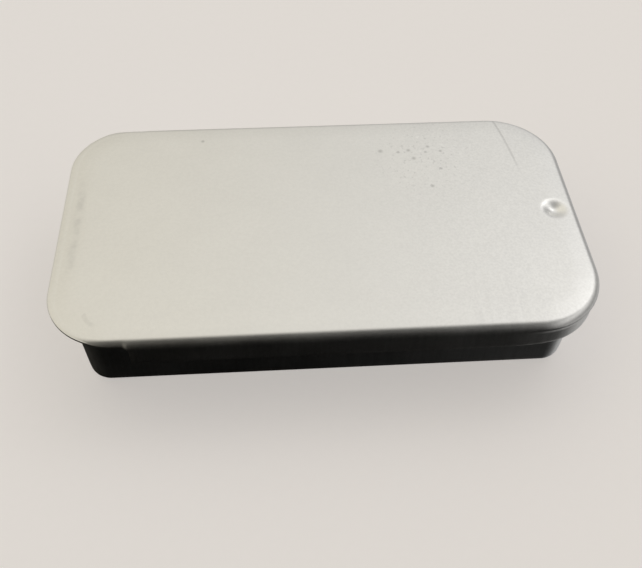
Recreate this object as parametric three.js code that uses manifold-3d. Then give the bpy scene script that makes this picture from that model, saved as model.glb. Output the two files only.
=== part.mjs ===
// A slide-top tin of bow rosin: a drawn sheet-metal tray, the lid that slides along its rim,
// and the cake of rosin cast inside the tray.
// Millimetres. X runs along the tin and the lid slides open towards +X, Z is up,
// and the origin is the centre of the closed tin's footprint.

import * as THREE from 'three';
import { mergeVertices } from 'three/addons/utils/BufferGeometryUtils.js';
import Module from 'manifold-3d';

// The closed tin.
const LENGTH = 60;
const WIDTH = 34;
const HEIGHT = 11;
const SHEET = 0.3;
const FOLDED_CORNER_RADIUS = 8.0;
const FLAT_CORNER_RADIUS = 7.2;

// Lid: a flat plate whose sides fold down and then in, apart from its left-hand end.
const SKIRT_HEIGHT = 3.6;
const FOLD_RADIUS = 0.8;
const LIP_FOLD_RADIUS = 0.5;
const LIP_DEPTH = 1.5;
const FOLD_START_X = -21;
const DIMPLE_X = 27.3;
const DIMPLE_RADIUS = 1.8;
const DIMPLE_DEPTH = 0.55;

// Tray: its walls stand in from the lid's outline, and lean in a little towards the floor.
const WALL_INSET_END = 2.5;
const WALL_INSET_SIDE = 2.7;
const WALL_CORNER_RADIUS = 2.9;
const WALL_DRAFT = 0.25;
const FLOOR_EDGE_RADIUS = 1.0;

// Rim: the flange under the lid's plate, and the rails that the lid's lips hook under.
const LID_SIDE_GAP = 0.3;
const LID_TOP_GAP = 0.2;
const RAIL_LIP_GAP = 0.3;
const RAIL_START_X = -20.5;
const SOCKET_RADIUS = 2.25;
const SOCKET_DEPTH = 0.6;

// Rosin: cast in the tray to a little below the rim.
const CAKE_TOP_Z = 8.6;
const CAKE_GAP = 0.1;
const CAKE_EDGE_RADIUS = 0.6;

// Heights and outlines that follow from the dimensions above.
const LEFT = -LENGTH / 2;
const RIGHT = LENGTH / 2;
const HALF_WIDTH = WIDTH / 2;
const PLATE_UNDER_Z = HEIGHT - SHEET;
const SKIRT_BOTTOM_Z = HEIGHT - SKIRT_HEIGHT;
const LIP_TOP_Z = SKIRT_BOTTOM_Z + SHEET;
const FLANGE_TOP_Z = PLATE_UNDER_Z - LID_TOP_GAP;
const FLANGE_UNDER_Z = FLANGE_TOP_Z - SHEET;
const FLANGE_INSET = SHEET + LID_SIDE_GAP;
const RAIL_END_X = RIGHT - FOLDED_CORNER_RADIUS;
const LID = {
  left: LEFT,
  right: RIGHT,
  halfWidth: HALF_WIDTH,
  leftRadius: FLAT_CORNER_RADIUS,
  rightRadius: FOLDED_CORNER_RADIUS,
};
const WALL = {
  left: LEFT + WALL_INSET_END,
  right: RIGHT - WALL_INSET_END,
  halfWidth: HALF_WIDTH - WALL_INSET_SIDE,
  leftRadius: WALL_CORNER_RADIUS,
  rightRadius: WALL_CORNER_RADIUS,
};

// Fineness of the curved surfaces, and how far a cutting body reaches past what it cuts.
const CORNER_STEPS = 10;
const EDGE_STEPS = 4;
const DISH_STEPS = 8;
const DISH_SECTORS = 28;
const OVERCUT = 1;

const wasm = await Module();
wasm.setup();

// A closed three.js geometry as a solid that can be joined and cut.
function solid(geometry) {
  geometry.deleteAttribute('normal');
  geometry.deleteAttribute('uv');
  const merged = mergeVertices(geometry.index ? geometry.toNonIndexed() : geometry);
  const vertProperties = new Float32Array(merged.attributes.position.array);
  const triVerts = new Uint32Array(merged.index.array);
  return new wasm.Manifold(new wasm.Mesh({ numProp: 3, vertProperties, triVerts }));
}

// A solid as a named mesh with its own material.
function meshOf(name, body, material) {
  const { vertProperties, triVerts } = body.getMesh();
  const geometry = new THREE.BufferGeometry();
  geometry.setAttribute('position', new THREE.BufferAttribute(vertProperties, 3));
  geometry.setIndex(new THREE.BufferAttribute(triVerts, 1));
  geometry.computeVertexNormals();
  const mesh = new THREE.Mesh(geometry, material);
  mesh.name = name;
  return mesh;
}

// The same rounded rectangle with its outline pulled in on every side.
function pulledIn(outline, inset) {
  return {
    left: outline.left + inset,
    right: outline.right - inset,
    halfWidth: outline.halfWidth - inset,
    leftRadius: outline.leftRadius - inset,
    rightRadius: outline.rightRadius - inset,
  };
}

function roundedRectangle({ left, right, halfWidth, leftRadius, rightRadius }) {
  const shape = new THREE.Shape();
  const quarter = Math.PI / 2;
  shape.absarc(right - rightRadius, rightRadius - halfWidth, rightRadius, -quarter, 0);
  shape.absarc(right - rightRadius, halfWidth - rightRadius, rightRadius, 0, quarter);
  shape.absarc(left + leftRadius, halfWidth - leftRadius, leftRadius, quarter, 2 * quarter);
  shape.absarc(left + leftRadius, leftRadius - halfWidth, leftRadius, 2 * quarter, 3 * quarter);
  shape.closePath();
  return shape;
}

// A rounded-rectangle block from one height to another, with its edges rounded top and bottom.
function block(outline, fromZ, toZ, edgeRadius = 0) {
  const geometry = new THREE.ExtrudeGeometry(roundedRectangle(outline), {
    depth: toZ - fromZ - 2 * edgeRadius,
    curveSegments: CORNER_STEPS,
    bevelEnabled: edgeRadius > 0,
    bevelThickness: edgeRadius,
    bevelSize: edgeRadius,
    bevelOffset: -edgeRadius,
    bevelSegments: EDGE_STEPS,
  });
  return geometry.translate(0, 0, fromZ + edgeRadius);
}

// The same block as a solid with a different edge radius at the bottom and at the top.
function foldedBlock(outline, fromZ, toZ, bottomRadius, topRadius) {
  const lower = solid(block(outline, fromZ, toZ + 2 * bottomRadius, bottomRadius));
  const upper = solid(block(outline, fromZ - 2 * topRadius, toZ, topRadius));
  return lower.intersect(upper);
}

function box(fromX, toX, fromY, toY, fromZ, toZ) {
  const geometry = new THREE.BoxGeometry(toX - fromX, toY - fromY, toZ - fromZ);
  return geometry.translate((fromX + toX) / 2, (fromY + toY) / 2, (fromZ + toZ) / 2);
}

// Leans a tray-shaped block's walls in by `draft` from the rim down to the floor.
function drafted(geometry, draft, rimZ) {
  const position = geometry.attributes.position;
  for (let i = 0; i < position.count; i++) {
    const lean = draft * (1 - position.getZ(i) / rimZ);
    const x = position.getX(i) * (1 - lean / WALL.right);
    const y = position.getY(i) * (1 - lean / WALL.halfWidth);
    position.setXY(i, x, y);
  }
  return geometry;
}

// How far a round pressing of this radius and depth drops at a distance from its centre.
function drop(distance, radius, depth) {
  return (depth / 2) * (1 + Math.cos((Math.PI * distance) / radius));
}

// Points of a pressing's surface, from its centre out to its edge, where the sheet lies at z.
function dishCurve(z, radius, depth) {
  const points = [];
  for (let i = 0; i <= DISH_STEPS; i++) {
    const distance = (radius * i) / DISH_STEPS;
    points.push(new THREE.Vector2(distance, z - drop(distance, radius, depth)));
  }
  return points;
}

function turned(profile, x) {
  const closed = [...profile, profile[0].clone()];
  return new THREE.LatheGeometry(closed, DISH_SECTORS).rotateX(Math.PI / 2).translate(x, 0, 0);
}

// What a round pressing takes off the top of a sheet, and the sheet that it pushes down.
function pressing(topZ, radius, depth) {
  const upper = dishCurve(topZ, radius, depth);
  const lower = dishCurve(topZ - SHEET, radius, depth);
  const above = [new THREE.Vector2(radius, topZ + OVERCUT), new THREE.Vector2(0, topZ + OVERCUT)];
  return {
    hollow: solid(turned([...upper, ...above], DIMPLE_X)),
    sheet: solid(turned([...lower, ...[...upper].reverse()], DIMPLE_X)),
  };
}

function makeLid() {
  const shell = foldedBlock(LID, SKIRT_BOTTOM_Z, HEIGHT, LIP_FOLD_RADIUS, FOLD_RADIUS);
  const inside = foldedBlock(
    pulledIn(LID, SHEET), LIP_TOP_Z, PLATE_UNDER_Z, LIP_FOLD_RADIUS - SHEET, FOLD_RADIUS - SHEET,
  );
  const mouth = solid(block(pulledIn(LID, LIP_DEPTH), SKIRT_BOTTOM_Z - OVERCUT, LIP_TOP_Z + SHEET));
  const foldedEnd = solid(box(FOLD_START_X, RIGHT + OVERCUT, -WIDTH, WIDTH, 0, 2 * HEIGHT));
  const flatEnd = solid(box(LEFT - OVERCUT, FOLD_START_X + SHEET, -WIDTH, WIDTH, 0, 2 * HEIGHT));
  const plate = solid(block(LID, PLATE_UNDER_Z, HEIGHT)).intersect(flatEnd);
  const dimple = pressing(HEIGHT, DIMPLE_RADIUS, DIMPLE_DEPTH);
  return shell.subtract(inside).subtract(mouth).intersect(foldedEnd)
    .add(plate).subtract(dimple.hollow).add(dimple.sheet);
}

// One rail: the edge of the flange on a long side, turned down. side is -1 or 1.
function makeRail(side) {
  const outer = side * (HALF_WIDTH - FLANGE_INSET);
  const inner = outer - side * SHEET;
  const low = LIP_TOP_Z + RAIL_LIP_GAP;
  return solid(box(
    RAIL_START_X, RAIL_END_X, Math.min(inner, outer), Math.max(inner, outer), low, FLANGE_TOP_Z,
  ));
}

function makeTray() {
  const aboveRim = FLANGE_TOP_Z + 2 * FLOOR_EDGE_RADIUS;
  const outside = solid(drafted(block(WALL, 0, aboveRim, FLOOR_EDGE_RADIUS), WALL_DRAFT, FLANGE_TOP_Z));
  const inside = solid(drafted(
    block(pulledIn(WALL, SHEET), SHEET, aboveRim + OVERCUT, FLOOR_EDGE_RADIUS - SHEET),
    WALL_DRAFT, FLANGE_TOP_Z,
  ));
  const overRim = solid(box(LEFT, RIGHT, -WIDTH, WIDTH, FLANGE_TOP_Z, 2 * HEIGHT));
  const flange = solid(block(pulledIn(LID, FLANGE_INSET), FLANGE_UNDER_Z, FLANGE_TOP_Z));
  const socket = pressing(FLANGE_TOP_Z, SOCKET_RADIUS, SOCKET_DEPTH);
  const rimEdge = box(
    WALL.right - SHEET, RIGHT - FLANGE_INSET, -SOCKET_RADIUS, SOCKET_RADIUS, 0, HEIGHT,
  );
  return outside.subtract(overRim).add(flange).add(makeRail(-1)).add(makeRail(1))
    .subtract(inside).subtract(socket.hollow).add(socket.sheet.intersect(solid(rimEdge)));
}

function makeCake() {
  const outline = pulledIn(WALL, SHEET + CAKE_GAP);
  return solid(drafted(
    block(outline, SHEET + CAKE_GAP, CAKE_TOP_Z, CAKE_EDGE_RADIUS), WALL_DRAFT, FLANGE_TOP_Z,
  ));
}

const tinplate = { color: 0xc9c9c0, metalness: 1, roughness: 0.42 };
const trayMetal = new THREE.MeshStandardMaterial(tinplate);
const lidMetal = new THREE.MeshStandardMaterial(tinplate);
const rosin = new THREE.MeshStandardMaterial({ color: 0x8a4310, metalness: 0, roughness: 0.22 });

const tin = new THREE.Group();
tin.add(meshOf('tin_body', makeTray(), trayMetal));
tin.add(meshOf('rosin_cake', makeCake(), rosin));
tin.add(meshOf('slide_lid', makeLid(), lidMetal));

export default tin;
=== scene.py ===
"""Looks of a slide-top tin of bow rosin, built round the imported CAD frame. Metres, +Z up."""

import math

import bmesh
import bpy
import numpy as np
from mathutils import Matrix, Vector


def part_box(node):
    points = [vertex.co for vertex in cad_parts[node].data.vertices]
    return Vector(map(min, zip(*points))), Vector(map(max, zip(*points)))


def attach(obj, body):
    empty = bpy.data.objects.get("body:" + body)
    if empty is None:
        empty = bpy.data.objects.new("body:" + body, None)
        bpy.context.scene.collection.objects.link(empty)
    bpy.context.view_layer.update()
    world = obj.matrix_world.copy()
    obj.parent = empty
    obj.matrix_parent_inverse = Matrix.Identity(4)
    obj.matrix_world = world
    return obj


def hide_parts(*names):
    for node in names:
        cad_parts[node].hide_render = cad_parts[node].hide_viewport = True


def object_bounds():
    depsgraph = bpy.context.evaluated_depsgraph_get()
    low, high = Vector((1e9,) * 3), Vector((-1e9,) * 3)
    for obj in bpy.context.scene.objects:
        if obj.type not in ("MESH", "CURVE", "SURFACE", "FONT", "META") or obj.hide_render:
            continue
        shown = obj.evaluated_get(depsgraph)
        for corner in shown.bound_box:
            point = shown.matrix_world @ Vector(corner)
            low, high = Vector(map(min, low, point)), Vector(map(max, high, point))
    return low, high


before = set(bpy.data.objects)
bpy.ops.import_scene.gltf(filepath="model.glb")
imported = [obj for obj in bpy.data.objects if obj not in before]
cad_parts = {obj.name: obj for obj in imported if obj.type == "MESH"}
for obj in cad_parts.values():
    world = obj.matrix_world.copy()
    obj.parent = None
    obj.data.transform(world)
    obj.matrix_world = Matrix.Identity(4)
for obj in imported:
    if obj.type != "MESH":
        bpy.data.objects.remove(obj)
cad_low, cad_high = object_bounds()

MM = 0.001

# Places and sizes read from the frame.
LID_LOW, LID_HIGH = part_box("slide_lid")
TRAY_LOW, TRAY_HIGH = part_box("tin_body")
CAKE_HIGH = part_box("rosin_cake")[1]
LID_TOP = LID_HIGH.z
SKIRT_BOTTOM = LID_LOW.z
RIM_TOP = TRAY_HIGH.z

# Pressed sheet.
SHEET = 0.3 * MM
EDGE_BREAK = 0.05 * MM
SHARP_ANGLE = math.radians(50)
SAME_POINT = 0.002 * MM
TINY = 1e-7

# Lid. Its corners are the left-hand and the right-hand radius.
FOLD_RADIUS = 1.0 * MM
CROWN_DROP = 0.1 * MM
CROWN_REACH = 2.4 * MM
LIP_FOLD_RADIUS = 0.5 * MM
LIP_DEPTH = 1.5 * MM
LID_CORNERS = (7.2 * MM, 8.0 * MM)
FOLD_START_X = -21.0 * MM
FOLD_RUN_IN = 0.75 * MM
CURL_REACH = 1.0 * MM
CURL_DROP_END = 0.08 * MM
CURL_DROP_SIDE = 0.5 * MM
CURL_TURN_POWER = 24
CURL_PULL = 0.22 * MM
NECK_IN = 0.22 * MM
NECK_START_X = 20.0 * MM
NECK_RUN = 3.0 * MM
NECK_HEIGHT = 0.7 * MM
DIMPLE = Vector((27.3 * MM, 0.0))
DIMPLE_RADIUS = 1.8 * MM
DIMPLE_DEPTH = 0.48 * MM

# Tray.
WALL_INSET_END = 2.5 * MM
WALL_INSET_SIDE = 2.7 * MM
WALL_CORNER = 2.9 * MM
WALL_DRAFT = 0.25 * MM
FLOOR_RADIUS = 1.0 * MM
RIM_BEND_RADIUS = 0.4 * MM
RAIL_BEND_RADIUS = 0.4 * MM
RAIL_GAP = 0.3 * MM
RAIL_BOTTOM = SKIRT_BOTTOM + SHEET + RAIL_GAP
RAIL_SPAN = (-20.5 * MM, LID_HIGH.x - LID_CORNERS[1])
SOCKET_RADIUS = 2.25 * MM
SOCKET_DEPTH = 0.6 * MM
SOCKET_FADE = (2.5 * MM, 0.5 * MM)
FLANGE_EDGE_DROP = 0.06 * MM

# The camera: where it looks, from how far, and how it is turned.
CAMERA_TARGET = Vector((-0.86 * MM, -10.04 * MM, LID_TOP))
CAMERA_DISTANCE = 87.4 * MM
CAMERA_AZIMUTH = math.radians(-4.6)
CAMERA_ELEVATION = math.radians(50.46)
CAMERA_ROLL = math.radians(1.23)
CAMERA_LENS = 45.5
SENSOR_WIDTH = 36.0

# Light and floor: the sky's brightness overhead, the softbox up on the right, and the floor below the tin.
SKY = 0.88
SOFTBOX_DIRECTION = Vector((0.55, 0.41, 0.73))
SOFTBOX_DISTANCE = 1.5
SOFTBOX_SIZE = (0.5, 0.5)
SOFTBOX_POWER = 0.6
FLOOR_Z = -0.02 * MM
FLOOR_COLOUR = (0.547, 0.521, 0.5, 1)


# ---------------------------------------------------------------- camera, floor and light


def make_camera():
    data = bpy.data.cameras.new("camera")
    data.lens = CAMERA_LENS
    data.sensor_width = SENSOR_WIDTH
    data.clip_start = 0.001
    camera = bpy.data.objects.new("camera", data)
    bpy.context.scene.collection.objects.link(camera)
    away = Vector(
        (
            math.sin(CAMERA_AZIMUTH) * math.cos(CAMERA_ELEVATION),
            -math.cos(CAMERA_AZIMUTH) * math.cos(CAMERA_ELEVATION),
            math.sin(CAMERA_ELEVATION),
        )
    )
    turn = (-away).to_track_quat("-Z", "Y").to_matrix().to_4x4()
    place = Matrix.Translation(CAMERA_TARGET + away * CAMERA_DISTANCE)
    camera.matrix_world = place @ turn @ Matrix.Rotation(CAMERA_ROLL, 4, "Z")
    bpy.context.scene.camera = camera


class Nodes:
    """Builds a node tree with short calls. An input is a number, a colour or another node's output."""

    def __init__(self, tree):
        self.tree = tree
        tree.nodes.clear()

    def add(self, kind, inputs=None, **settings):
        node = self.tree.nodes.new(kind)
        for name, value in settings.items():
            setattr(node, name, value)
        for name, value in (inputs or {}).items():
            if isinstance(value, bpy.types.NodeSocket):
                self.tree.links.new(value, node.inputs[name])
            else:
                node.inputs[name].default_value = value
        return node

    def math(self, operation, a, b=0.0):
        return self.add("ShaderNodeMath", {0: a, 1: b}, operation=operation).outputs[0]

    def plus(self, a, b):
        return self.math("ADD", a, b)

    def minus(self, a, b):
        return self.math("SUBTRACT", a, b)

    def times(self, a, b):
        return self.math("MULTIPLY", a, b)

    def smooth(self, value, low, high, to_low=0.0, to_high=1.0):
        """value's smooth step from low to high, as a number from to_low to to_high."""
        node = self.add(
            "ShaderNodeMapRange",
            {"Value": value, 1: low, 2: high, 3: to_low, 4: to_high},
            interpolation_type="SMOOTHSTEP",
        )
        return node.outputs[0]

    def mix(self, factor, a, b, blend="MIX"):
        inputs = {0: factor, 6: a, 7: b}
        return self.add("ShaderNodeMix", inputs, data_type="RGBA", blend_type=blend).outputs[2]

    def axes(self, vector):
        """A vector's x, y and z."""
        return self.add("ShaderNodeSeparateXYZ", {0: vector}).outputs


def make_world():
    """A soft studio. Its brightness is made of soft steps over the direction's x, y and z."""
    world = bpy.data.worlds.new("studio")
    bpy.context.scene.world = world
    world.use_nodes = True
    n = Nodes(world.node_tree)
    x, y, z = n.axes(n.add("ShaderNodeTexCoord").outputs["Generated"])
    aside = n.math("ABSOLUTE", x)

    # The sky: grey at the horizon, a little lighter straight behind, and brightest overhead.
    horizon = n.smooth(y, 0.65, 1.0, 0.36, 0.56)
    overhead = n.times(n.smooth(z, 0.0, 0.8), n.smooth(z, 0.7, 1.0, 1.0, 1.2))
    sky = n.plus(horizon, n.times(overhead, n.minus(SKY, horizon)))
    # The dark place in front, which ends at the sides and has a slightly lighter edge overhead.
    front = n.smooth(y, -0.35, 0.62, n.smooth(z, 0.35, 0.9, 0.003, 0.045), 1.0)
    front = n.times(front, n.smooth(y, 0.42, 0.62, 1.14, 1.0))
    sky = n.times(sky, n.math("MAXIMUM", front, n.smooth(aside, 0.34, 0.7)))
    # Brighter on the right, but darker low down at the far right.
    sky = n.times(sky, n.smooth(x, 0.05, 0.5, 1.0, 1.14))
    far_right = n.times(n.smooth(x, 0.5, 0.85), n.smooth(z, 0.25, 0.75, 1.0, 0.0))
    sky = n.times(sky, n.minus(1.0, n.times(far_right, 0.4)))

    # The table top: grey behind, at the sides and in the right-hand corner, and almost black in front.
    level = n.smooth(z, -0.6, -0.25)
    behind = n.math("MAXIMUM", n.smooth(y, -0.5, 0.1), n.smooth(aside, 0.5, 0.8))
    ground = n.times(level, n.times(behind, 0.5))
    corner = n.times(n.smooth(x, 0.25, 0.55), n.smooth(y, -0.35, 0.15))
    ground = n.math("MAXIMUM", ground, n.times(corner, 0.5))
    ground = n.plus(ground, n.smooth(x, 0.0, 0.45, 0.0, 0.018))

    above = n.smooth(z, -0.08, 0.08)
    brightness = n.plus(ground, n.times(above, n.minus(sky, ground)))
    tint = n.mix(n.smooth(x, -0.5, 0.45), (1.0, 0.955, 0.825, 1), (1.0, 0.995, 0.985, 1))
    background = n.add("ShaderNodeBackground", {"Color": tint, "Strength": brightness})
    n.add("ShaderNodeOutputWorld", {"Surface": background.outputs[0]})


def make_softbox():
    data = bpy.data.lights.new("softbox", "AREA")
    data.shape = "RECTANGLE"
    data.size, data.size_y = SOFTBOX_SIZE
    data.energy = SOFTBOX_POWER
    light = bpy.data.objects.new("softbox", data)
    bpy.context.scene.collection.objects.link(light)
    light.location = SOFTBOX_DIRECTION * SOFTBOX_DISTANCE
    light.rotation_mode = "QUATERNION"
    light.rotation_quaternion = (-SOFTBOX_DIRECTION).to_track_quat("-Z", "Y")


def make_floor():
    """A round pale floor that sweeps up into a wall. Reflections and bounced light come from the studio."""
    flat, bend, wall, sides = 0.8, 0.5, 1.6, 96
    turns = [2 * math.pi * i / sides for i in range(sides)]
    profile = [(flat * t, 0.0) for t in (0.25, 1.0)]
    profile += [(flat + s, bend - c) for s, c in arc(bend, 12)]
    profile.append((flat + bend, wall))
    bm = bmesh.new()
    middle = bm.verts.new((0, 0, FLOOR_Z))
    rings = []
    for radius, height in profile:
        ring = [(radius * math.cos(turn), radius * math.sin(turn), height + FLOOR_Z) for turn in turns]
        rings.append([bm.verts.new(p) for p in ring])
    for i in range(sides):
        j = (i + 1) % sides
        bm.faces.new((middle, rings[0][i], rings[0][j]))
        for a, b in zip(rings, rings[1:]):
            bm.faces.new((a[i], b[i], b[j], a[j]))
    mesh = bpy.data.meshes.new("floor")
    bm.to_mesh(mesh)
    bm.free()
    mesh.shade_smooth()
    floor = bpy.data.objects.new("floor", mesh)
    bpy.context.scene.collection.objects.link(floor)
    floor.visible_glossy = False
    floor.visible_diffuse = False
    floor.visible_shadow = False
    material = bpy.data.materials.new("floor")
    material.use_nodes = True
    n = Nodes(material.node_tree)
    place = n.add("ShaderNodeTexCoord").outputs["Object"]
    paper = n.add("ShaderNodeTexNoise", {"Vector": place, "Scale": 900.0, "Detail": 4.0})
    darker = [0.97 * v for v in FLOOR_COLOUR[:3]]
    shade = n.mix(paper.outputs[0], (*darker, 1), FLOOR_COLOUR)
    paint = n.add(
        "ShaderNodeBsdfPrincipled",
        {
            "Base Color": shade,
            "Roughness": 0.9,
            "Specular IOR Level": 0.1,
            "Emission Color": FLOOR_COLOUR,
            "Emission Strength": 0.8,
        },
    )
    n.add("ShaderNodeOutputMaterial", {"Surface": paint.outputs[0]})
    mesh.materials.append(material)


# ---------------------------------------------------------------- outlines


def spread(low, high, step, fine=(), fine_step=None):
    """Numbers from low to high, a step apart, and closer together inside the fine spans."""
    marks = [low, high]
    for a, b in fine:
        marks += [a, b]
    marks = sorted(set(marks))
    out = []
    for a, b in zip(marks, marks[1:]):
        inside = any(f[0] <= a and b <= f[1] for f in fine)
        count = max(1, math.ceil((b - a) / (fine_step if inside else step) - 1e-6))
        out += [a + (b - a) * i / count for i in range(count)]
    return np.array([*out, high])


def shares(values):
    """The same numbers as shares of the way from the first to the last."""
    return (values - values[0]) / (values[-1] - values[0])


class Stations:
    """Where the columns of a pressed sheet stand round its outline, as shares of each side."""

    def __init__(self, front, right, corner_steps):
        self.front = shares(front)
        self.right = shares(right)
        self.left = np.linspace(0, 1, 15)
        self.turn = np.linspace(0, 1, corner_steps + 1)[1:-1]

    def round(self, left, right, half_width, radii):
        """Points and outward directions round a rounded rectangle, anticlockwise from its front left."""
        left_r, right_r = radii
        points, outward = [], []

        def side(a, b, share, direction):
            for t in share:
                points.append((a[0] + (b[0] - a[0]) * t, a[1] + (b[1] - a[1]) * t))
                outward.append(direction)

        def corner(centre, radius, start):
            for t in self.turn:
                angle = math.radians(start + 90 * t)
                direction = (math.cos(angle), math.sin(angle))
                points.append((centre[0] + radius * direction[0], centre[1] + radius * direction[1]))
                outward.append(direction)

        x0, x1, y1 = left + left_r, right - right_r, half_width
        side((x0, -y1), (x1, -y1), self.front, (0, -1))
        corner((x1, -y1 + right_r), right_r, -90)
        side((right, -y1 + right_r), (right, y1 - right_r), self.right, (1, 0))
        corner((x1, y1 - right_r), right_r, 0)
        side((x1, y1), (x0, y1), 1 - self.front[::-1], (0, 1))
        corner((x0, y1 - left_r), left_r, 90)
        side((left, y1 - left_r), (left, -y1 + left_r), self.left, (-1, 0))
        corner((x0, -y1 + left_r), left_r, 180)
        return np.array(points), np.array(outward)


def arc(radius, steps, start=0.0):
    """Pairs of sine and cosine times radius, from start to 90 degrees, without the first."""
    angles = np.radians(np.linspace(start, 90.0, steps + 1)[1:])
    return [(radius * math.sin(a), radius * math.cos(a)) for a in angles]


def drop(points, centre, radius, depth):
    """How far a round pressing lowers each point."""
    distance = np.hypot(points[:, 0] - centre.x, points[:, 1] - centre.y)
    return 0.5 * depth * (1 + np.cos(np.pi * np.minimum(distance / radius, 1)))


# ---------------------------------------------------------------- pressed sheets


def pressed_sheet(name, upper, lower, edge_ring, turned):
    """A closed sheet from its two faces.

    upper and lower are lists of rings of points, from the middle out. Rings past edge_ring exist only
    where turned is true, so the sheet ends at edge_ring everywhere else."""
    bm = bmesh.new()
    count = len(upper[0])
    grids = []
    for rings in (upper, lower):
        grid = []
        for k, ring in enumerate(rings):
            alive = turned if k > edge_ring else np.ones(count, bool)
            grid.append([bm.verts.new(p) if alive[u] else None for u, p in enumerate(ring)])
        grids.append(grid)
    top, under = grids
    last = len(upper) - 1
    for u in range(count):
        v = (u + 1) % count
        end = last if turned[u] and turned[v] else edge_ring
        for k in range(end):
            bm.faces.new((top[k][u], top[k + 1][u], top[k + 1][v], top[k][v]))
            bm.faces.new((under[k][v], under[k + 1][v], under[k + 1][u], under[k][u]))
        bm.faces.new((top[end][u], under[end][u], under[end][v], top[end][v]))
        if turned[u] != turned[v]:
            w = u if turned[u] else v
            for k in range(edge_ring, last):
                strip = (top[k][w], under[k][w], under[k + 1][w], top[k + 1][w])
                bm.faces.new(strip if turned[u] else strip[::-1])
    bmesh.ops.remove_doubles(bm, verts=bm.verts, dist=SAME_POINT)
    bmesh.ops.recalc_face_normals(bm, faces=bm.faces)
    sharp = [e for e in bm.edges if e.is_manifold and e.calc_face_angle() > SHARP_ANGLE]
    bmesh.ops.bevel(
        bm, geom=sharp, offset=EDGE_BREAK, offset_type="OFFSET", segments=2, profile=0.5,
        affect="EDGES", clamp_overlap=True,
    )
    return finish_mesh(name, bm)


def finish_mesh(name, bm):
    """A smooth-shaded object from the mesh, kept inside the CAD model's box."""
    mesh = bpy.data.meshes.new(name)
    bm.to_mesh(mesh)
    bm.free()
    mesh.shade_smooth()
    places = np.empty(len(mesh.vertices) * 3, np.float32)
    mesh.vertices.foreach_get("co", places)
    places = np.clip(places.reshape(-1, 3), list(cad_low), list(cad_high))
    mesh.vertices.foreach_set("co", places.ravel())
    mesh.update()
    piece = bpy.data.objects.new(name, mesh)
    bpy.context.scene.collection.objects.link(piece)
    return piece


def at_height(points, z):
    """Plan points lifted to one height, or each to its own."""
    return np.column_stack([points, np.broadcast_to(z, len(points))])


def ease(share):
    """A smooth step from 0 to 1 for shares from 0 to 1."""
    return share * share * (3 - 2 * share)


def towards_middle(points, spine_x, steps):
    """Rings of plan points from the middle line of the sheet out to just inside the points."""
    middle = np.column_stack([np.clip(points[:, 0], *spine_x), np.zeros(len(points))])
    return [middle + (points - middle) * i / steps for i in range(steps)]


def fold_share(points, start_x, run_in):
    """0 where the edge is flat and 1 where it is folded, with a short run-in at the fold's start."""
    return ease(np.clip((points[:, 0] - (start_x - run_in)) / run_in, 0, 1))


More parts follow.
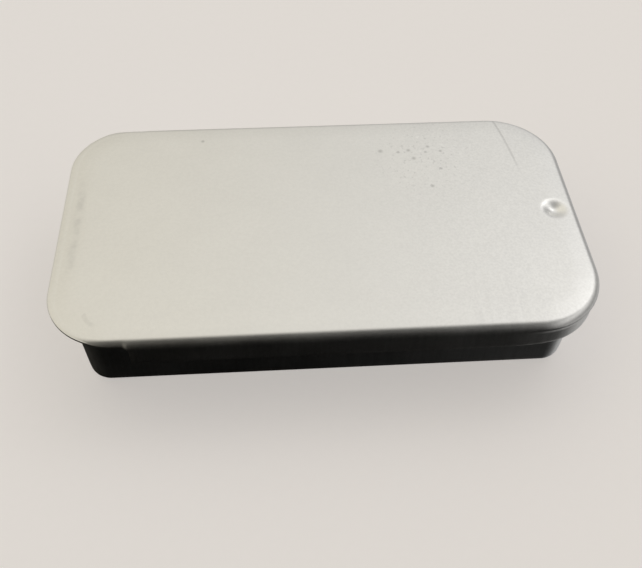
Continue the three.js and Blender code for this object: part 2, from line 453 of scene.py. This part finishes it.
def make_lid():
    """The lid: a flat plate whose edge is folded down and under, except at the flat left end."""
    left, right, half_width = LID_LOW.x, LID_HIGH.x, LID_HIGH.y
    front = spread(
        left + LID_CORNERS[0], right - LID_CORNERS[1], 1.0 * MM,
        [(FOLD_START_X - FOLD_RUN_IN, FOLD_START_X)], 0.15 * MM,
    )
    end_y = half_width - LID_CORNERS[1]
    across = spread(-end_y, end_y, 0.7 * MM, [(-DIMPLE_RADIUS, DIMPLE_RADIUS)], 0.12 * MM)
    stations = Stations(front, across, corner_steps=26)
    edge, outward = stations.round(left, right, half_width, LID_CORNERS)
    turned = edge[:, 0] >= FOLD_START_X - TINY
    share = fold_share(edge, FOLD_START_X, FOLD_RUN_IN)[:, None]
    neck = np.clip((edge[:, 0] - NECK_START_X) / NECK_RUN, 0, 1)[:, None]
    curl_drop = CURL_DROP_END + (CURL_DROP_SIDE - CURL_DROP_END) * outward[:, 1] ** CURL_TURN_POWER
    curl_pull = CURL_PULL * np.abs(outward[:, 1])

    def inset(depth):
        return edge - outward * depth

    def skirt(depth, z):
        """Points on the skirt, which is drawn in a little below the fold round the right end."""
        below = np.clip((LID_TOP - 0.7 * FOLD_RADIUS - z) / NECK_HEIGHT, 0, 1)
        return inset(np.minimum(depth + NECK_IN * neck * ease(below), LIP_DEPTH))

    shoulder = math.atan(2 * CROWN_DROP / CROWN_REACH)
    fold_inset = FOLD_RADIUS * (1 - math.sin(shoulder))
    middle_inset = 6.5 * MM
    spine = (-15 * MM, 15 * MM)

    def crowned(depth):
        """How far the plate falls at a distance in from its edge."""
        return CROWN_DROP * max(0, 1 - max(0, depth - fold_inset) / CROWN_REACH) ** 2

    def curled(depth):
        """How far it falls where its edge isn't folded."""
        return crowned(depth) + curl_drop * max(0, 1 - depth / CURL_REACH) ** 2

    depths = spread(
        fold_inset, middle_inset, 0.4 * MM, [(fold_inset, right - DIMPLE.x + DIMPLE_RADIUS)], 0.13 * MM
    )
    plan = [(p, 0.0) for p in towards_middle(inset(middle_inset), spine, 9)]
    for depth in depths[::-1]:
        plan.append((inset(depth), crowned(depth) * share[:, 0] + curled(depth) * (1 - share[:, 0])))

    # The plate, with the dimple in it.
    upper = []
    for points, fall in plan:
        dent = drop(points, DIMPLE, DIMPLE_RADIUS, DIMPLE_DEPTH)
        upper.append(at_height(points, LID_TOP - fall - dent))
    lower = [ring - np.array([0, 0, SHEET]) for ring in upper]

    # The fold, or the curled edge where nothing is folded.
    fold_steps = 12
    centre_z = LID_TOP - CROWN_DROP - FOLD_RADIUS * math.cos(shoulder)
    start = math.degrees(shoulder)
    outer_arc = arc(FOLD_RADIUS, fold_steps, start)
    inner_arc = arc(FOLD_RADIUS - SHEET, fold_steps, start)
    for i, ((out_sin, out_cos), (in_sin, in_cos)) in enumerate(zip(outer_arc, inner_arc), 1):
        depth = fold_inset * (1 - i / fold_steps)
        pull = curl_pull * (1 - depth / CURL_REACH) ** 2
        flat = at_height(inset(depth) - outward * pull[:, None], LID_TOP - curled(depth))
        z_up, z_low = centre_z + out_cos, centre_z + in_cos
        folded_up = at_height(skirt(FOLD_RADIUS - out_sin, z_up), z_up)
        folded_low = at_height(skirt(FOLD_RADIUS - in_sin, z_low), z_low)
        upper.append(folded_up * share + flat * (1 - share))
        lower.append(folded_low * share + (flat - np.array([0, 0, SHEET])) * (1 - share))
    edge_ring = len(upper) - 1

    # The skirt, and the lip turned in below it.
    bend = SKIRT_BOTTOM + LIP_FOLD_RADIUS
    for z in np.linspace(centre_z, bend, 9)[1:]:
        upper.append(at_height(skirt(0, z), z))
        lower.append(at_height(skirt(SHEET, z), z))
    inner_radius = LIP_FOLD_RADIUS - SHEET
    for (out_sin, out_cos), (in_sin, in_cos) in zip(arc(LIP_FOLD_RADIUS, 6), arc(inner_radius, 6)):
        upper.append(at_height(skirt(LIP_FOLD_RADIUS - out_cos, bend - out_sin), bend - out_sin))
        lower.append(at_height(skirt(LIP_FOLD_RADIUS - in_cos, bend - in_sin), bend - in_sin))
    for depth in np.linspace(LIP_FOLD_RADIUS, LIP_DEPTH, 4)[1:]:
        upper.append(at_height(skirt(depth, SKIRT_BOTTOM), SKIRT_BOTTOM))
        lower.append(at_height(skirt(depth, SKIRT_BOTTOM), SKIRT_BOTTOM + SHEET))
    lid = pressed_sheet("lid_sheet", upper, lower, edge_ring, turned)
    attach(lid, "lid")
    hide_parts("slide_lid")
    return lid


def make_tray():
    """The tray: floor, drafted walls and a flange with its two long sides turned down as rails."""
    left, right, half_width = TRAY_LOW.x, TRAY_HIGH.x, TRAY_HIGH.y
    gap = LID_HIGH.x - right
    rim_corners = (LID_CORNERS[0] - gap, LID_CORNERS[1] - gap)
    start, end = RAIL_SPAN
    front = spread(
        left + rim_corners[0], right - rim_corners[1], 1.0 * MM,
        [(start - FOLD_RUN_IN, start)], 0.15 * MM,
    )
    end_y = half_width - rim_corners[1]
    across = spread(-end_y, end_y, 0.7 * MM, [(-SOCKET_RADIUS, SOCKET_RADIUS)], 0.15 * MM)
    stations = Stations(front, across, corner_steps=22)
    edge, outward = stations.round(left, right, half_width, rim_corners)
    wall, wall_out = stations.round(
        LID_LOW.x + WALL_INSET_END, LID_HIGH.x - WALL_INSET_END, LID_HIGH.y - WALL_INSET_SIDE,
        (WALL_CORNER, WALL_CORNER),
    )
    straight = np.abs(outward[:, 1]) > 1 - TINY
    turned = straight & (edge[:, 0] >= start - TINY) & (edge[:, 0] <= end + TINY)
    share = (fold_share(edge, start, FOLD_RUN_IN) * straight)[:, None]

    def from_wall(out):
        """Plan points a distance outside the wall's outer face at the rim."""
        return wall + wall_out * out

    def lean(z):
        """How far the drafted wall stands from its place at the rim."""
        return -WALL_DRAFT * (1 - z / RIM_TOP)

    # The floor and its rounded edge.
    floor_edge = FLOOR_RADIUS - lean(0)
    spine = (-20 * MM, 20 * MM)
    plan = towards_middle(from_wall(-floor_edge), spine, 14)
    plan.append(from_wall(-floor_edge))
    lower = [at_height(p, 0.0) for p in plan]
    upper = [at_height(p, SHEET) for p in plan]
    inner = FLOOR_RADIUS - SHEET
    for (out_sin, out_cos), (in_sin, in_cos) in zip(arc(FLOOR_RADIUS, 8), arc(inner, 8)):
        lower.append(at_height(from_wall(lean(0) - FLOOR_RADIUS + out_sin), FLOOR_RADIUS - out_cos))
        upper.append(at_height(from_wall(lean(0) - FLOOR_RADIUS + in_sin), FLOOR_RADIUS - in_cos))

    # The wall, and the bend out into the flange.
    bend = RIM_TOP - SHEET - RIM_BEND_RADIUS
    for z in np.linspace(FLOOR_RADIUS, bend, 13)[1:]:
        lower.append(at_height(from_wall(lean(z)), z))
        upper.append(at_height(from_wall(lean(z) - SHEET), z))
    outer = RIM_BEND_RADIUS + SHEET
    for (out_sin, out_cos), (in_sin, in_cos) in zip(arc(outer, 7), arc(RIM_BEND_RADIUS, 7)):
        upper.append(at_height(from_wall(RIM_BEND_RADIUS - out_cos), bend + out_sin))
        lower.append(at_height(from_wall(RIM_BEND_RADIUS - in_cos), bend + in_sin))

    # The flange.
    inboard = from_wall(RIM_BEND_RADIUS)
    outboard = edge - outward * RAIL_BEND_RADIUS
    for t in np.linspace(0, 1, 9)[1:]:
        p = inboard + (outboard - inboard) * t
        upper.append(at_height(p, RIM_TOP))
        lower.append(at_height(p, RIM_TOP - SHEET))

    # The rails' bend, or the flange's rolled edge where there is no rail.
    fold_steps = 6
    radius = RAIL_BEND_RADIUS
    for i, ((out_sin, out_cos), (in_sin, in_cos)) in enumerate(
        zip(arc(radius, fold_steps), arc(radius - SHEET, fold_steps)), 1
    ):
        flat = edge - outward * radius * (1 - i / fold_steps)
        flat_z = RIM_TOP - FLANGE_EDGE_DROP * (i / fold_steps) ** 2
        folded_up = at_height(edge - outward * (radius - out_sin), RIM_TOP - radius + out_cos)
        folded_low = at_height(edge - outward * (radius - in_sin), RIM_TOP - radius + in_cos)
        upper.append(folded_up * share + at_height(flat, flat_z) * (1 - share))
        lower.append(folded_low * share + at_height(flat, flat_z - SHEET) * (1 - share))
    edge_ring = len(upper) - 1

    # The rails.
    for z in np.linspace(RIM_TOP - radius, RAIL_BOTTOM, 5)[1:]:
        upper.append(at_height(edge, z))
        lower.append(at_height(edge - outward * SHEET, z))

    # The socket, pressed down where the lid's dimple rests.
    fade_low, fade_high = (RIM_TOP - below for below in SOCKET_FADE)
    for ring in upper + lower:
        fade = np.clip((ring[:, 2] - fade_low) / (fade_high - fade_low), 0, 1)
        ring[:, 2] -= drop(ring, DIMPLE, SOCKET_RADIUS, SOCKET_DEPTH) * fade
    tray = pressed_sheet("tray_sheet", upper, lower, edge_ring, turned)
    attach(tray, "tin")
    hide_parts("tin_body")
    return tray


def make_cake():
    """The cast cake: it climbs a little up the walls, and its top has sunk slightly as it cooled."""
    clear = 0.03 * MM
    meniscus = 0.45 * MM
    meniscus_reach = 0.5 * MM
    sink = 0.18 * MM
    step = 1.2 * MM
    spine = (-18 * MM, 18 * MM)
    front = spread(-23.0 * MM, 23.0 * MM, step)
    across = spread(-10.0 * MM, 10.0 * MM, step)
    stations = Stations(front, across, corner_steps=14)
    wall, wall_out = stations.round(
        LID_LOW.x + WALL_INSET_END + SHEET, LID_HIGH.x - WALL_INSET_END - SHEET,
        LID_HIGH.y - WALL_INSET_SIDE - SHEET,
        (WALL_CORNER - SHEET, WALL_CORNER - SHEET),
    )

    def side(z, depth=0.0):
        return wall - wall_out * (WALL_DRAFT * (1 - z / RIM_TOP) + clear + depth)

    def sunk(points):
        inner_share = np.clip(1 - (points / [CAKE_HIGH.x, CAKE_HIGH.y]) ** 2, 0, 1)
        return sink * inner_share.prod(axis=1)

    # The underside, from its middle out, then the side.
    low, high = SHEET + clear, CAKE_HIGH.z
    radius = FLOOR_RADIUS - SHEET
    rings = []
    base = side(low, radius)
    for p in [*towards_middle(base, spine, 8), base]:
        rings.append(at_height(p, low))
    for s, c in arc(radius, 5):
        rings.append(at_height(side(low + radius - c, radius - s), low + radius - c))
    for z in np.linspace(low + radius, high, 8)[1:]:
        rings.append(at_height(side(z), z))

    # The top, from the wall to its middle.
    for depth in (0.04, 0.1, 0.2, 0.35, 0.55, 0.8, 1.1, 1.5, 1.9):
        fall = meniscus * (1 - math.exp(-depth * MM / meniscus_reach))
        ring = side(high, depth * MM)
        rings.append(at_height(ring, high - fall - sunk(ring)))
    for p in towards_middle(ring, spine, 24)[::-1]:
        rings.append(at_height(p, high - meniscus - sunk(p)))

    bm = bmesh.new()
    grid = [[bm.verts.new(p) for p in ring] for ring in rings]
    count = len(wall)
    for a, b in zip(grid, grid[1:]):
        for u in range(count):
            v = (u + 1) % count
            bm.faces.new((a[u], a[v], b[v], b[u]))
    bmesh.ops.remove_doubles(bm, verts=bm.verts, dist=SAME_POINT)
    bmesh.ops.recalc_face_normals(bm, faces=bm.faces)
    cake = finish_mesh("cast_cake", bm)
    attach(cake, "tin")
    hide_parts("rosin_cake")
    return cake


# ---------------------------------------------------------------- materials


# Marks on the lid, in millimetres on its top. Pits and flecks are places with a radius, the scratch and the
# corner's rub are arcs through three points, and the dots and streaks gather round a place.
PITS = ((7.9, 11.0, 0.50), (10.1, 10.7, 0.34), (11.4, 11.0, 0.38), (11.9, 9.5, 0.45), (13.9, 11.6, 0.34),
        (13.5, 10.6, 0.30), (15.4, 10.7, 0.34), (15.0, 7.5, 0.34), (13.5, 4.5, 0.38), (-14.2, 13.9, 0.36))
FLECKS = ((12.9, 13.4, 0.4), (15.7, 11.9, 0.35), (12.9, 10.8, 0.3), (17.8, 10.0, 0.4), (15.7, 8.0, 0.3))
SCRATCH = ((23.2, 16.0), (24.1, 10.6), (24.6, 6.0))
CORNER_RUB = ((-25.8, -12.9), (-25.2, -13.9), (-24.2, -14.6))
LEFT_RUB_X = -28.1
DOTS = (13.5, 9.5)
STREAKS = (19.0, -17.0)


def circle_through(a, b, c):
    """Centre and radius of the circle through three plan points."""
    a, b, c = (complex(*p) for p in (a, b, c))
    w = (c - a) / (b - a)
    centre = a + (b - a) * (w - abs(w) ** 2) / (2j * w.imag)
    return (centre.real, centre.imag), abs(a - centre)


class Marks:
    """Masks for marks at known places, from a position in millimetres."""

    def __init__(self, nodes, place):
        self.n = nodes
        self.x, self.y, self.z = nodes.axes(place)

    def distance(self, x, y):
        n = self.n
        aside = n.math("POWER", n.minus(self.x, x), 2.0)
        ahead = n.math("POWER", n.minus(self.y, y), 2.0)
        return n.math("SQRT", n.plus(aside, ahead))

    def spots(self, spots):
        total = None
        for x, y, radius in spots:
            spot = self.n.smooth(self.distance(x, y), 0.0, radius, 1.0, 0.0)
            total = spot if total is None else self.n.math("MAXIMUM", total, spot)
        return total

    def stroke(self, points, width):
        """An arc through three points, which fades towards its last point."""
        n = self.n
        centre, radius = circle_through(*points)
        off = n.math("ABSOLUTE", n.minus(self.distance(*centre), radius))
        line = n.smooth(off, 0.3 * width, width, 1.0, 0.0)
        first, last = points[0], points[-1]
        along = (last[0] - first[0], last[1] - first[1])
        length = math.hypot(*along)
        run_x = n.times(n.minus(self.x, first[0]), along[0] / length**2)
        run_y = n.times(n.minus(self.y, first[1]), along[1] / length**2)
        run = n.plus(run_x, run_y)
        fade = n.times(n.smooth(run, -0.08, 0.02), n.smooth(run, 0.6, 1.05, 1.0, 0.0))
        middle = [0.5 * (a + b) for a, b in zip(first, last)]
        near = n.smooth(self.distance(*middle), 0.6 * length, 0.75 * length, 1.0, 0.0)
        return n.times(n.times(line, fade), near)


def in_millimetres(n):
    """The place on the piece, in millimetres."""
    place = n.add("ShaderNodeTexCoord").outputs["Object"]
    return n.add("ShaderNodeVectorMath", {0: place, "Scale": 1 / MM}, operation="SCALE").outputs[0]


def noise(n, place, size, detail=3.0, stretch=(1, 1, 1), seed=0.0):
    """Noise from 0 to 1 with features about size millimetres across, from a place in millimetres."""
    scaled = n.add("ShaderNodeVectorMath", {0: place, 1: stretch}, operation="MULTIPLY").outputs[0]
    texture = n.add(
        "ShaderNodeTexNoise",
        {"Vector": scaled, "W": seed, "Scale": 1.0 / size, "Detail": detail, "Roughness": 0.55},
        noise_dimensions="4D",
    )
    return n.smooth(texture.outputs[0], 0.3, 0.7)


def make_tinplate(name, colour, worn):
    """Satin tinplate: sandy grain, cloudy sheen and draw marks down its sides. worn adds the lid's marks."""
    material = bpy.data.materials.new(name)
    material.use_nodes = True
    n = Nodes(material.node_tree)
    place = in_millimetres(n)
    marks = Marks(n, place)
    normal = n.axes(n.add("ShaderNodeNewGeometry").outputs["Normal"])
    upright = n.smooth(n.math("ABSOLUTE", normal[2]), 0.35, 0.75, 1.0, 0.0)

    grain = noise(n, place, 0.16, 4.0)
    sand = noise(n, place, 0.42, 3.0, seed=3.0)
    cloud = noise(n, place, 6.0, 3.0, seed=7.0)
    drawn = n.times(noise(n, place, 0.5, 4.0, stretch=(1, 1, 0.04), seed=11.0), upright)
    scuffs = noise(n, place, 0.9, 2.0, stretch=(0.12, 1.0, 1), seed=17.0)

    tone = n.plus(0.945, n.times(grain, 0.025))
    tone = n.plus(tone, n.times(sand, 0.03))
    tone = n.plus(tone, n.times(cloud, 0.03))
    tone = n.minus(tone, n.times(drawn, 0.10))
    height = n.plus(n.times(grain, 0.35), n.times(sand, 0.65))
    height = n.plus(height, n.times(drawn, 2.0))
    rough = n.plus(0.30, n.times(grain, 0.05))
    rough = n.plus(rough, n.times(cloud, 0.04))
    rough = n.minus(rough, n.times(scuffs, 0.015))
    if worn:
        top = n.smooth(marks.z, LID_TOP / MM - 1.2, LID_TOP / MM - 0.7)
        right = n.smooth(marks.x, -6.0, 22.0)
        pebble = noise(n, place, 0.28, 2.0, seed=23.0)
        tone = n.plus(tone, n.times(n.minus(pebble, 0.5), n.times(right, 0.075)))
        height = n.plus(height, n.times(n.times(pebble, right), 0.9))

        pits = n.times(marks.spots(PITS), top)
        flecks = n.times(marks.spots(FLECKS), top)
        dots = n.smooth(noise(n, place, 0.5, 1.0, seed=29.0), 0.86, 1.0)
        dots = n.times(dots, n.times(n.smooth(marks.distance(*DOTS), 3.0, 9.0, 1.0, 0.0), top))
        scratch = n.times(marks.stroke(SCRATCH, 0.2), top)
        rub = marks.stroke(CORNER_RUB, 0.35)
        left = n.smooth(n.math("ABSOLUTE", n.minus(marks.x, LEFT_RUB_X)), 0.1, 0.75, 1.0, 0.0)
        left = n.times(left, n.smooth(n.math("ABSOLUTE", marks.y), 5.0, 9.0, 1.0, 0.0))
        left = n.times(left, noise(n, place, 1.4, 3.0, seed=31.0))
        streaks = noise(n, place, 0.45, 3.0, stretch=(1, 0.05, 0.05), seed=37.0)
        streaks = n.times(streaks, n.smooth(marks.distance(*STREAKS), 2.0, 9.0, 1.0, 0.0))
        shades = (
            (pits, 0.26), (dots, 0.12), (scratch, 0.17), (rub, 0.08), (left, 0.07), (streaks, 0.05),
        )
        for mark, shade in shades:
            tone = n.minus(tone, n.times(mark, shade))
        tone = n.plus(tone, n.times(flecks, 0.06))
        height = n.minus(height, n.times(pits, 1.5))
        height = n.minus(height, n.times(scratch, 3.0))
        rough = n.plus(rough, n.times(n.math("MAXIMUM", pits, left), 0.12))

        # The dimple is smoother, as a punch leaves it, and its colour is lightened as a painted highlight.
        dent = n.smooth(marks.distance(DIMPLE.x / MM, DIMPLE.y / MM), 1.4, 2.2, 1.0, 0.0)
        height = n.times(height, n.minus(1.0, n.times(dent, 0.85)))
        tone = n.plus(tone, n.times(dent, 0.07))
        rough = n.minus(rough, n.times(dent, 0.03))
    else:
        rubbed = n.times(n.smooth(marks.z, RIM_TOP / MM - 0.6, RIM_TOP / MM - 0.1), scuffs)
        rough = n.minus(rough, n.times(rubbed, 0.06))
        tone = n.minus(tone, n.times(rubbed, 0.03))
    shade = n.add("ShaderNodeCombineXYZ", {0: tone, 1: tone, 2: tone}).outputs[0]
    tint = n.mix(1.0, colour, shade, "MULTIPLY")
    bump = n.add("ShaderNodeBump", {"Height": height, "Strength": 0.5, "Distance": 0.003 * MM})
    metal = n.add(
        "ShaderNodeBsdfPrincipled",
        {"Base Color": tint, "Metallic": 1.0, "Roughness": rough, "Normal": bump.outputs[0]},
    )
    n.add("ShaderNodeOutputMaterial", {"Surface": metal.outputs[0]})
    return material


def make_rosin():
    """Cast amber rosin: deep and glassy, with cloudy depths, small bubbles, dust and a dull film."""
    material = bpy.data.materials.new("rosin")
    material.use_nodes = True
    n = Nodes(material.node_tree)
    place = in_millimetres(n)
    depth = noise(n, place, 7.0, 4.0, seed=41.0)
    wisps = noise(n, place, 2.6, 2.0, seed=43.0)
    bubbles = n.smooth(noise(n, place, 0.45, 1.0, seed=47.0), 0.93, 1.0)
    dust = n.smooth(noise(n, place, 0.13, 3.0, seed=53.0), 0.6, 1.0)
    dust = n.times(dust, noise(n, place, 5.0, 3.0, seed=59.0))
    film = noise(n, place, 3.2, 2.0, seed=61.0)

    amber = n.mix(depth, (0.25, 0.058, 0.005, 1), (0.40, 0.115, 0.01, 1))
    amber = n.mix(n.times(wisps, 0.18), amber, (0.47, 0.19, 0.035, 1))
    amber = n.mix(n.times(bubbles, 0.22), amber, (0.62, 0.36, 0.12, 1))
    pale = n.plus(n.times(dust, 0.14), n.times(film, 0.03))
    amber = n.mix(pale, amber, (0.74, 0.62, 0.42, 1))
    rough = n.plus(0.10, n.times(dust, 0.25))
    rough = n.plus(rough, n.times(film, 0.08))
    height = n.plus(n.times(wisps, 0.4), n.times(bubbles, 0.6))
    height = n.minus(height, n.times(film, 0.3))
    bump = n.add("ShaderNodeBump", {"Height": height, "Strength": 0.4, "Distance": 0.03 * MM})
    body = n.add(
        "ShaderNodeBsdfPrincipled",
        {
            "Base Color": amber,
            "Roughness": rough,
            "IOR": 1.55,
            "Subsurface Weight": 0.25,
            "Subsurface Radius": (1.0, 0.35, 0.08),
            "Subsurface Scale": 1.2 * MM,
            "Normal": bump.outputs[0],
        },
    )
    n.add("ShaderNodeOutputMaterial", {"Surface": body.outputs[0]})
    return material


make_camera()
make_world()
make_softbox()
make_floor()
lid = make_lid()
tray = make_tray()
cake = make_cake()
lid.data.materials.append(make_tinplate("lid_tinplate", (0.79, 0.78, 0.755, 1), worn=True))
tray.data.materials.append(make_tinplate("tray_tinplate", (0.77, 0.77, 0.76, 1), worn=False))
cake.data.materials.append(make_rosin())
bpy.context.scene.view_settings.view_transform = "Standard"

bpy.context.view_layer.update()
